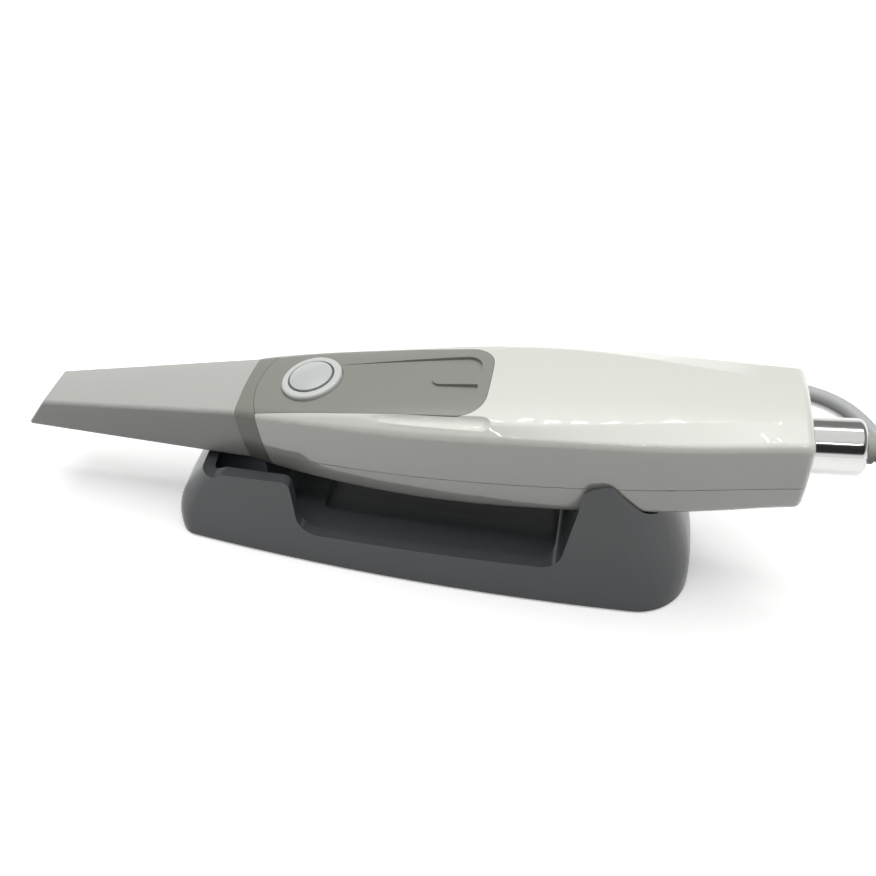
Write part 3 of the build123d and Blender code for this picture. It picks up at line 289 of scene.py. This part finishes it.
def hank_turns():
    """The turns of the hank: long flat loops, out and in by turns, from the table upwards."""
    points = []
    turns = [(radius, level)
             for level in range(hank_levels)
             for radius in (hank_radii if level % 2 == 0 else hank_radii[::-1])]
    for count, (radius, level) in enumerate(turns):
        last = count == len(turns) - 1
        next_radius, next_level = turns[count if last else count + 1]
        steps = [(hank_left_x, pi / 2, step) for step in range(end_steps + 1)]
        if last:
            steps = []
        else:
            steps += [(hank_right_x, -pi / 2, step) for step in range(end_steps + 1)]
        for end_x, start, step in steps:
            angle = start + pi * step / end_steps
            done = 0 if end_x == hank_left_x else step / end_steps
            reach = radius + (next_radius - radius) * done
            lift = level + (next_level - level) * done
            points.append((end_x + reach * cos(angle), hank_middle_y + reach * sin(angle),
                           hank_low_z + cable_diameter * lift))
    return points


def cord_curve(name, points, diameter):
    """A round cord along one smooth spline, points in millimetres."""
    line = bpy.data.curves.new(name, "CURVE")
    line.dimensions = "3D"
    line.resolution_u = 6
    line.bevel_depth = diameter / 2 * MM
    line.bevel_resolution = 5
    line.use_fill_caps = True
    spline = line.splines.new("NURBS")
    spline.points.add(len(points) - 1)
    for point, place in zip(spline.points, points):
        point.co = (*(Vector(place) * MM), 1)
    spline.order_u = 3
    spline.use_endpoint_u = True
    cord = bpy.data.objects.new(name, line)
    bpy.context.collection.objects.link(cord)
    line.materials.append(finishes["cable_grey"].material)
    return cord


root = "cradle_and_handpiece"
nodes = frame["nodes"]
cord = cord_curve("scanner_cable", [cable_exit, *cable_route, *hank_turns(), *tail_route],
                  cable_diameter)
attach(cord, root)
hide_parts("cable", "cable_hank", "cable_tail")


# Smooth shading for the moulded and turned pieces, with their real edges kept crisp

seam_gap = 0.002


def smoothing_tree(sharp_angle):
    """Merges a piece's loose triangles and shades it smooth between its sharp edges."""
    tree = bpy.data.node_groups.new("crisp_edges", "GeometryNodeTree")
    tree.interface.new_socket("Geometry", in_out="INPUT", socket_type="NodeSocketGeometry")
    tree.interface.new_socket("Geometry", in_out="OUTPUT", socket_type="NodeSocketGeometry")
    start = tree.nodes.new("NodeGroupInput")
    end = tree.nodes.new("NodeGroupOutput")
    merge = tree.nodes.new("GeometryNodeMergeByDistance")
    merge.inputs["Distance"].default_value = seam_gap * MM
    angle = tree.nodes.new("GeometryNodeInputMeshEdgeAngle")
    crisp = tree.nodes.new("FunctionNodeCompare")
    crisp.operation = "LESS_THAN"
    crisp.inputs["B"].default_value = sharp_angle
    faces = tree.nodes.new("GeometryNodeSetShadeSmooth")
    edges = tree.nodes.new("GeometryNodeSetShadeSmooth")
    edges.domain = "EDGE"
    tree.links.new(start.outputs[0], merge.inputs["Geometry"])
    tree.links.new(merge.outputs[0], faces.inputs["Geometry"])
    tree.links.new(faces.outputs[0], edges.inputs["Geometry"])
    tree.links.new(angle.outputs["Unsigned Angle"], crisp.inputs["A"])
    tree.links.new(crisp.outputs["Result"], edges.inputs["Shade Smooth"])
    tree.links.new(edges.outputs[0], end.inputs[0])
    return tree


crisp_edges = smoothing_tree(radians(24))


# Cable exit: a polished ferrule and a ribbed strain relief, both turned about the cable's axis

class Rule:
    """A Geometry Nodes tree whose named inputs, in millimetres, drive one piece."""

    def __init__(self, name, **inputs):
        self.tree = bpy.data.node_groups.new(name, "GeometryNodeTree")
        self.values = {label.replace("_", " "): value for label, value in inputs.items()}
        face = self.tree.interface
        face.new_socket("Geometry", in_out="OUTPUT", socket_type="NodeSocketGeometry")
        for label, value in self.values.items():
            kind = "NodeSocketInt" if isinstance(value, int) else "NodeSocketFloat"
            face.new_socket(label, in_out="INPUT", socket_type=kind)
        self.start = self.tree.nodes.new("NodeGroupInput")

    def size(self, label):
        return Wire(self.tree, self.start.outputs[label])

    def node(self, kind, settings=(), output=0, **sockets):
        return add_node(self.tree, kind, settings, output, **sockets)

    def spot(self, x, y=0.0, z=0.0):
        return self.node("ShaderNodeCombineXYZ", X=x, Y=y, Z=z)

    def part(self, wire, axis):
        return self.node("ShaderNodeSeparateXYZ", output=axis, Vector=wire)

    def join(self, *parts):
        joined = self.tree.nodes.new("GeometryNodeJoinGeometry")
        for part in parts:
            self.tree.links.new(part.socket, joined.inputs[0])
        return Wire(self.tree, joined.outputs[0])

    def outline(self, front, rear, inner, outer, round_front, round_rear, turns):
        """A closed outline from front to rear along X and from inner to outer along Y, with its
        outer corners rounded."""
        frame_line = self.node("GeometryNodeCurvePrimitiveQuadrilateral", Width=rear - front,
                               Height=outer - inner)
        place, steep = self.node("GeometryNodeInputPosition"), 1000.0
        at_rear = (self.part(place, 0) * steep).clamped()
        at_rim = (self.part(place, 1) * steep).clamped()
        radius = at_rim * (round_front + at_rear * (round_rear - round_front))
        soft = self.node("GeometryNodeFilletCurve", {"mode": "POLY"}, Curve=frame_line, Count=turns,
                         Radius=radius, Limit_Radius=True)
        return self.node("GeometryNodeTransform", Geometry=soft,
                         Translation=self.spot((front + rear) * 0.5, (inner + outer) * 0.5))

    def turned(self, outline, steps, around):
        """The solid that an outline makes when it is turned about X."""
        sheet = self.node("GeometryNodeMeshGrid", Size_X=1.0, Size_Y=1.0, Vertices_X=steps,
                          Vertices_Y=around)
        place = self.node("GeometryNodeInputPosition")
        along, angle = self.part(place, 0) + 0.5, self.part(place, 1) * (2 * pi)
        spots = self.tree.nodes.new("GeometryNodeSampleCurve")
        spots.mode = "FACTOR"
        feed(self.tree, spots.inputs["Curves"], outline)
        feed(self.tree, spots.inputs["Factor"], along)
        point = Wire(self.tree, spots.outputs["Position"])
        out = self.part(point, 1)
        bent = self.node("GeometryNodeSetPosition", Geometry=sheet,
                         Position=self.spot(self.part(point, 0), out * angle.maths("COSINE", angle),
                                            out * angle.maths("SINE", angle)))
        return self.node("GeometryNodeMergeByDistance", Geometry=bent, Distance=seam_gap)

    def piece(self, name, shape, slot):
        """Ends the tree, makes the piece a plain mesh, and seats it on the cable's axis."""
        real = self.node("GeometryNodeRealizeInstances", Geometry=shape)
        painted = self.node("GeometryNodeSetMaterial", Geometry=real)
        painted.socket.node.inputs["Material"].default_value = finishes[slot].material
        end = self.tree.nodes.new("NodeGroupOutput")
        self.tree.links.new(painted.socket, end.inputs[0])
        made = bpy.data.objects.new(name, bpy.data.meshes.new(name))
        bpy.context.collection.objects.link(made)
        rule = made.modifiers.new("rule", "NODES")
        rule.node_group = self.tree
        for item in self.tree.interface.items_tree:
            if item.in_out == "INPUT":
                rule[item.identifier] = self.values[item.name]
        graph = bpy.context.evaluated_depsgraph_get()
        mesh = bpy.data.meshes.new_from_object(made.evaluated_get(graph))
        made.modifiers.remove(rule)
        mesh.transform(Matrix.Translation((0, 0, seat_height * MM)) @ Matrix.Rotation(-pitch, 4, "Y")
                       @ Matrix.Translation((0, 0, exit_below * MM)) @ Matrix.Scale(MM, 4))
        made.data = mesh
        made.modifiers.new("crisp_edges", "NODES").node_group = crisp_edges
        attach(made, root)
        return made


def ferrule():
    """A sleeve with a large round at its free end, on a neck through the rear wall."""
    rule = Rule("turned_ferrule", Neck_Start=neck_start, Sleeve_Start=sleeve_start, Sleeve_End=sleeve_end,
                Bore=3.9, Neck_Bore=2.6, Neck_Radius=5.2, Sleeve_Radius=7.0, Seat_Round=0.15,
                End_Round=1.6, Round_Steps=10)
    sleeve = rule.outline(rule.size("Sleeve Start"), rule.size("Sleeve End"), rule.size("Bore"),
                          rule.size("Sleeve Radius"), rule.size("Seat Round"), rule.size("End Round"),
                          rule.size("Round Steps"))
    neck = rule.outline(rule.size("Neck Start"), rule.size("Sleeve Start"), rule.size("Neck Bore"),
                        rule.size("Neck Radius"), round_front=0.2, round_rear=0.01, turns=2)
    return rule.piece("ferrule", rule.join(rule.turned(sleeve, steps=160, around=129),
                                           rule.turned(neck, steps=60, around=65)), "polished_metal")


def strain_relief():
    """A soft sleeve with a collar, a tapered core, one rib repeated along it, and a plain end."""
    rule = Rule("ribbed_relief", Start=relief_start, Collar_End=collar_end, End=relief_end,
                Collar_Radius=3.85, End_Radius=3.2, Bore=2.45, Rib_Height=0.6, Rib_Width=1.5, Ribs=7,
                Rib_Pitch=2.6, First_Rib=1.1, Plain_End=2.5, Rib_Round=0.25)
    collar_radius, end_radius = rule.size("Collar Radius"), rule.size("End Radius")
    height, bore, soft = rule.size("Rib Height"), rule.size("Bore"), rule.size("Rib Round")
    begin, stop = rule.size("Collar End"), rule.size("End")
    collar = rule.turned(rule.outline(rule.size("Start"), begin, bore, collar_radius, soft, soft,
                                      turns=4), steps=90, around=65)
    core = rule.turned(rule.outline(begin, stop, bore, collar_radius - height, round_front=0.01,
                                    round_rear=0.01, turns=1), steps=90, around=65)
    tail = rule.turned(rule.outline(stop - rule.size("Plain End"), stop, bore, end_radius, soft,
                                    soft, turns=4), steps=90, around=65)
    ring = rule.turned(rule.outline(0.0, rule.size("Rib Width"), bore, collar_radius, soft, soft,
                                    turns=4), steps=60, around=65)
    places = rule.node("GeometryNodeMeshLine", Count=rule.size("Ribs"),
                       Start_Location=rule.spot(begin + rule.size("First Rib")),
                       Offset=rule.spot(rule.size("Rib Pitch")))
    index = rule.node("GeometryNodeInputIndex")
    share = (index * rule.size("Rib Pitch") + rule.size("First Rib")) / (stop - begin)
    girth = 1.0 + share * (end_radius - collar_radius) / collar_radius
    ribs = rule.node("GeometryNodeInstanceOnPoints", Points=places, Instance=ring,
                     Scale=rule.spot(1.0, girth, girth))
    place, core_taper = rule.node("GeometryNodeInputPosition"), 0.17
    slim = 1.0 - core_taper * (rule.part(place, 0) - begin) / (stop - begin)
    core = rule.node("GeometryNodeSetPosition", Geometry=core,
                     Position=rule.spot(rule.part(place, 0), rule.part(place, 1) * slim,
                                        rule.part(place, 2) * slim))
    return rule.piece("strain_relief", rule.join(collar, core, ribs, tail), "relief_grey")


turned_pieces = {"cable_ferrule": ferrule(), "strain_relief": strain_relief()}
for name, piece in turned_pieces.items():
    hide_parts(name)
soft_edges = {"cradle": 1.1}
soft_edge_turn = radians(40)
for name, piece in nodes.items():
    if name in turned_pieces:
        continue
    paint(piece, slots[name])
    if name in soft_edges:
        piece.modifiers.new("one_skin", "WELD").merge_threshold = seam_gap * MM
        rounding = piece.modifiers.new("soft_edges", "BEVEL")
        rounding.width, rounding.segments = soft_edges[name] * MM, 3
        rounding.limit_method, rounding.angle_limit = "ANGLE", soft_edge_turn
    piece.modifiers.new("crisp_edges", "NODES").node_group = crisp_edges
    even = piece.modifiers.new("even_normals", "WEIGHTED_NORMAL")
    even.mode, even.keep_sharp = "FACE_AREA_WITH_ANGLE", True


# Floor, light and world

def background_rays(tree):
    """One for the rays that show the background itself: to the camera, off metal, through glass."""
    paths = tree.nodes.new("ShaderNodeLightPath")
    camera_ray, glossy_ray, glass_ray = (Wire(tree, paths.outputs[f"Is {kind} Ray"])
                                         for kind in ("Camera", "Glossy", "Transmission"))
    return (camera_ray + glossy_ray + glass_ray).clamped()


def floor():
    """A white table that keeps the shadow and turns plain white far out."""
    sheet = bpy.data.meshes.new("table")
    half = 40.0
    sheet.from_pydata([(-half, -half, 0), (half, -half, 0), (half, half, 0), (-half, half, 0)], [],
                      [(0, 1, 2, 3)])
    table = bpy.data.objects.new("table", sheet)
    bpy.context.collection.objects.link(table)
    finish = Finish("table_top")
    seen = background_rays(finish.tree)
    paper = finish.mix(finish.noise(scale=6.0), rgb(249, 249, 248), rgb(251, 251, 250))
    reach = finish.node("ShaderNodeVectorMath", {"operation": "LENGTH"}, output=1, Vector=finish.place)
    near_reach, fade, near_glow, far_gain = 0.5, 0.8, 0.33, 0.67
    far = ((reach - near_reach) * fade).clamped()
    glow = finish.mix(seen * (near_glow + far_gain * far), (0, 0, 0, 1), (1, 1, 1, 1))
    finish.set(Base_Color=finish.mix(seen, rgb(96, 96, 95), paper), Roughness=0.7,
               Specular_IOR_Level=0.1, Emission_Color=glow, Emission_Strength=1.0)
    finish.bump(finish.noise(scale=900.0), distance=0.00001)
    sheet.materials.append(finish.material)


def lamp(name, place, aim, size, power):
    light = bpy.data.lights.new(name, "AREA")
    light.shape = "RECTANGLE"
    light.size, light.size_y = size
    light.energy = power
    holder = bpy.data.objects.new(name, light)
    holder.location = place
    holder.rotation_mode = "QUATERNION"
    holder.rotation_quaternion = (Vector(aim) - Vector(place)).to_track_quat("-Z", "Y")
    bpy.context.collection.objects.link(holder)
    return holder


def world():
    """A pale room, darker where the photographer stands and white down at the horizon."""
    sky = bpy.data.worlds.new("studio")
    sky.use_nodes = True
    tree = sky.node_tree
    walls, photographer_gain, ceiling, white = 0.27, 0.24, 0.95, 1.0
    photographer = Vector((0.1, -0.75, 0.66)).normalized()
    place = add_node(tree, "ShaderNodeTexCoord", output="Generated")
    facing = add_node(tree, "ShaderNodeVectorMath", {"operation": "DOT_PRODUCT"}, output="Value")
    sides = facing.socket.node
    feed(tree, sides.inputs[0], place)
    feed(tree, sides.inputs[1], photographer)
    height = add_node(tree, "ShaderNodeSeparateXYZ", output="Z", Vector=place)
    front = ((facing - 0.60) * 4.0).clamped()
    above = ((height - 0.78) * 8.0).clamped()
    low = ((0.32 - height) * 12.0).clamped()
    level = walls - photographer_gain * front
    level = level + above * (ceiling - level)
    level = level + background_rays(tree) * low * (white - level)
    feed(tree, tree.nodes["Background"].inputs["Color"], level)
    bpy.context.scene.world = sky


floor()
world()
soft_light = lamp("soft_light", place=(0.0, 0.10, 1.4), aim=(0, 0, 0), size=(1.6, 1.2), power=12.8)
soft_light.visible_glossy = False
lamp_rows = (0.29, 0.33, -0.46)
lamp_count, lamp_spacing, lamp_height = 16, 0.048, 0.72
for row_y in lamp_rows:
    for place in range(lamp_count):
        row_x = (place - lamp_count / 2) * lamp_spacing
        lamp("ceiling_lamp", place=(row_x, row_y, lamp_height), aim=(0, 0, 0.04),
             size=(0.026, 0.005), power=0.028)
bpy.context.scene.view_settings.view_transform = "Standard"
